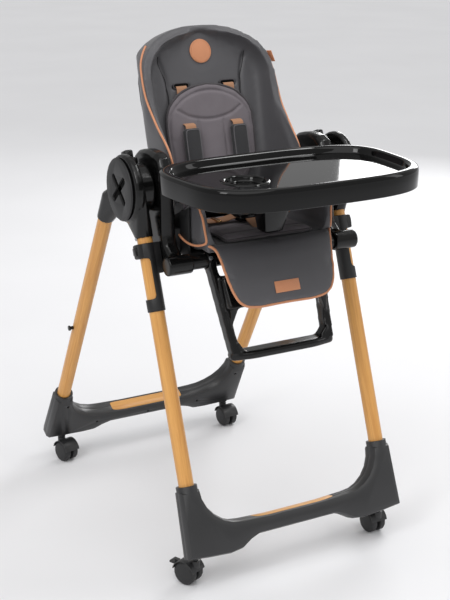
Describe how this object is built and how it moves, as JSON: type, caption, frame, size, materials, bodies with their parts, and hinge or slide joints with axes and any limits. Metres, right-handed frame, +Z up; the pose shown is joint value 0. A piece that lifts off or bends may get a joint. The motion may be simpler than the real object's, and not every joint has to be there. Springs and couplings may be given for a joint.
{
  "type": "baby high chair",
  "caption": "Folding baby high chair: A-frame legs on casters, height-sliding padded seat with reclining back, harness, leg rest and front tray.",
  "frame": {"origin": "centre of the object's box in plan, on the floor it stands on", "axes": "+Z up, the child faces -Y, +X is to the right of someone looking at the chair from the front"},
  "size_m": [0.524, 0.8738, 1.0586],
  "materials": {
    "wood_print_tube": "satin",
    "base_plastic": "matte",
    "matte_plastic": "matte",
    "gloss_plastic": "glossy",
    "tray_gloss": "high gloss",
    "steel": "brushed",
    "leatherette": "fine grain",
    "quilt": "woven",
    "webbing": "woven",
    "caster_plastic": "satin"
  },
  "bodies": {
    "frame": {"front_leg_left": "wood_print_tube", "front_leg_right": "wood_print_tube", "hub_socket_left": "gloss_plastic", "hub_socket_right": "gloss_plastic", "hub_cover_left": "matte_plastic", "hub_cover_right": "matte_plastic", "hub_pin_left": "steel", "hub_pin_right": "steel", "front_base_shell_front": "base_plastic", "front_base_shell_back": "base_plastic", "front_base_inlay": "wood_print_tube"},
    "rear_frame": {"rear_leg_left": "wood_print_tube", "rear_leg_right": "wood_print_tube", "rear_socket_left": "gloss_plastic", "rear_socket_right": "gloss_plastic", "tray_peg_left": "gloss_plastic", "tray_peg_right": "gloss_plastic", "rear_base_shell_front": "base_plastic", "rear_base_shell_back": "base_plastic", "rear_base_inlay": "wood_print_tube"},
    "seat": {"slider_left": "matte_plastic", "slider_right": "matte_plastic", "arm_bracket_left": "gloss_plastic", "arm_bracket_right": "gloss_plastic", "lap_strap_left": "webbing", "lap_strap_right": "webbing", "cross_tube": "gloss_plastic", "seat_shell": "matte_plastic", "seat_cover": "leatherette", "seat_liner": "quilt", "harness_buckle": "gloss_plastic", "crotch_strap": "webbing"},
    "back": {"back_shell": "matte_plastic", "back_cover": "leatherette", "back_liner": "quilt", "shoulder_strap_left": "webbing", "shoulder_strap_right": "webbing", "shoulder_pad_left": "webbing", "shoulder_pad_right": "webbing"},
    "leg_rest": {"leg_rest_frame": "gloss_plastic", "leg_rest_pad": "leatherette"},
    "tray": {"tray_top": "tray_gloss", "tray_base": "gloss_plastic"},
    "tray_release": {"tray_release": "gloss_plastic"},
    "recline_handle": {"recline_handle": "gloss_plastic"},
    "buckle_button": {"buckle_button": "gloss_plastic"},
    "fold_button_left": {"fold_button_left": "gloss_plastic"},
    "fold_button_right": {"fold_button_right": "gloss_plastic"},
    "height_button_left": {"height_button_left": "gloss_plastic"},
    "height_button_right": {"height_button_right": "gloss_plastic"},
    "caster_front_left": {"caster_hood_front_left": "caster_plastic"},
    "wheels_front_left": {"caster_wheels_front_left": "caster_plastic"},
    "brake_left": {"brake_lever_left": "caster_plastic"},
    "caster_front_right": {"caster_hood_front_right": "caster_plastic"},
    "wheels_front_right": {"caster_wheels_front_right": "caster_plastic"},
    "brake_right": {"brake_lever_right": "caster_plastic"},
    "caster_rear_left": {"caster_hood_rear_left": "caster_plastic"},
    "wheels_rear_left": {"caster_wheels_rear_left": "caster_plastic"},
    "caster_rear_right": {"caster_hood_rear_right": "caster_plastic"},
    "wheels_rear_right": {"caster_wheels_rear_right": "caster_plastic"}
  },
  "joints": [
    {"name": "rear_fold", "type": "hinge", "parent": "frame", "child": "rear_frame", "pos_m": [0, -0.06314, 0.768], "axis": [-1, 0, 0], "range_deg": [0, 40]},
    {"name": "seat_height", "type": "slide", "parent": "frame", "child": "seat", "axis": [0, -0.342, -0.9397], "range_m": [0, 0.22]},
    {"name": "back_recline", "type": "hinge", "parent": "seat", "child": "back", "pos_m": [0, 0.04286, 0.655], "axis": [-1, 0, 0], "range_deg": [0, 45]},
    {"name": "leg_rest_angle", "type": "hinge", "parent": "seat", "child": "leg_rest", "pos_m": [0, -0.17314, 0.634], "axis": [-1, 0, 0], "range_deg": [0, 45]},
    {"name": "tray_slide", "type": "slide", "parent": "seat", "child": "tray", "axis": [0, -1, 0], "range_m": [0, 0.06]},
    {"name": "tray_release_pull", "type": "slide", "parent": "tray", "child": "tray_release", "axis": [0, -1, 0], "range_m": [0, 0.006], "stiffness_N_per_m": 600},
    {"name": "recline_handle_pull", "type": "slide", "parent": "back", "child": "recline_handle", "axis": [0, 0.2571, 0.9664], "range_m": [0, 0.006], "stiffness_N_per_m": 800},
    {"name": "buckle_button_press", "type": "slide", "parent": "seat", "child": "buckle_button", "axis": [0, 0, -1], "range_m": [0, 0.0025], "stiffness_N_per_m": 800},
    {"name": "fold_button_left_press", "type": "slide", "parent": "frame", "child": "fold_button_left", "axis": [0, -0.342, -0.9397], "range_m": [0, 0.005], "stiffness_N_per_m": 800},
    {"name": "height_button_left_press", "type": "slide", "parent": "seat", "child": "height_button_left", "axis": [1, 0, 0], "range_m": [0, 0.0025], "stiffness_N_per_m": 800},
    {"name": "fold_button_right_press", "type": "slide", "parent": "frame", "child": "fold_button_right", "axis": [0, -0.342, -0.9397], "range_m": [0, 0.005], "stiffness_N_per_m": 800},
    {"name": "height_button_right_press", "type": "slide", "parent": "seat", "child": "height_button_right", "axis": [-1, 0, 0], "range_m": [0, 0.0025], "stiffness_N_per_m": 800},
    {"name": "caster_front_left_swivel", "type": "hinge", "parent": "frame", "child": "caster_front_left", "pos_m": [-0.222, -0.29314, 0.06], "axis": [0, 0, 1], "continuous": true},
    {"name": "caster_front_left_roll", "type": "hinge", "parent": "caster_front_left", "child": "wheels_front_left", "pos_m": [-0.22961, -0.27683, 0.025], "axis": [0.9063, 0.4226, 0], "continuous": true},
    {"name": "brake_left_tread", "type": "hinge", "parent": "caster_front_left", "child": "brake_left", "pos_m": [-0.24207, -0.25009, 0.037], "axis": [-0.9063, -0.4226, 0], "range_deg": [0, 15]},
    {"name": "caster_front_right_swivel", "type": "hinge", "parent": "frame", "child": "caster_front_right", "pos_m": [0.222, -0.29314, 0.06], "axis": [0, 0, 1], "continuous": true},
    {"name": "caster_front_right_roll", "type": "hinge", "parent": "caster_front_right", "child": "wheels_front_right", "pos_m": [0.22137, -0.27515, 0.025], "axis": [0.9994, 0.0349, 0], "continuous": true},
    {"name": "brake_right_tread", "type": "hinge", "parent": "caster_front_right", "child": "brake_right", "pos_m": [0.22034, -0.24567, 0.037], "axis": [-0.9994, -0.0349, 0], "range_deg": [0, 15]},
    {"name": "caster_rear_left_swivel", "type": "hinge", "parent": "rear_frame", "child": "caster_rear_left", "pos_m": [-0.224, 0.40286, 0.06], "axis": [0, 0, 1], "continuous": true},
    {"name": "caster_rear_left_roll", "type": "hinge", "parent": "caster_rear_left", "child": "wheels_rear_left", "pos_m": [-0.21965, 0.38539, 0.025], "axis": [-0.9703, -0.2419, 0], "continuous": true},
    {"name": "caster_rear_right_swivel", "type": "hinge", "parent": "rear_frame", "child": "caster_rear_right", "pos_m": [0.224, 0.40286, 0.06], "axis": [0, 0, 1], "continuous": true},
    {"name": "caster_rear_right_roll", "type": "hinge", "parent": "caster_rear_right", "child": "wheels_rear_right", "pos_m": [0.22526, 0.3849, 0.025], "axis": [-0.9976, -0.0698, 0], "continuous": true}
  ]
}
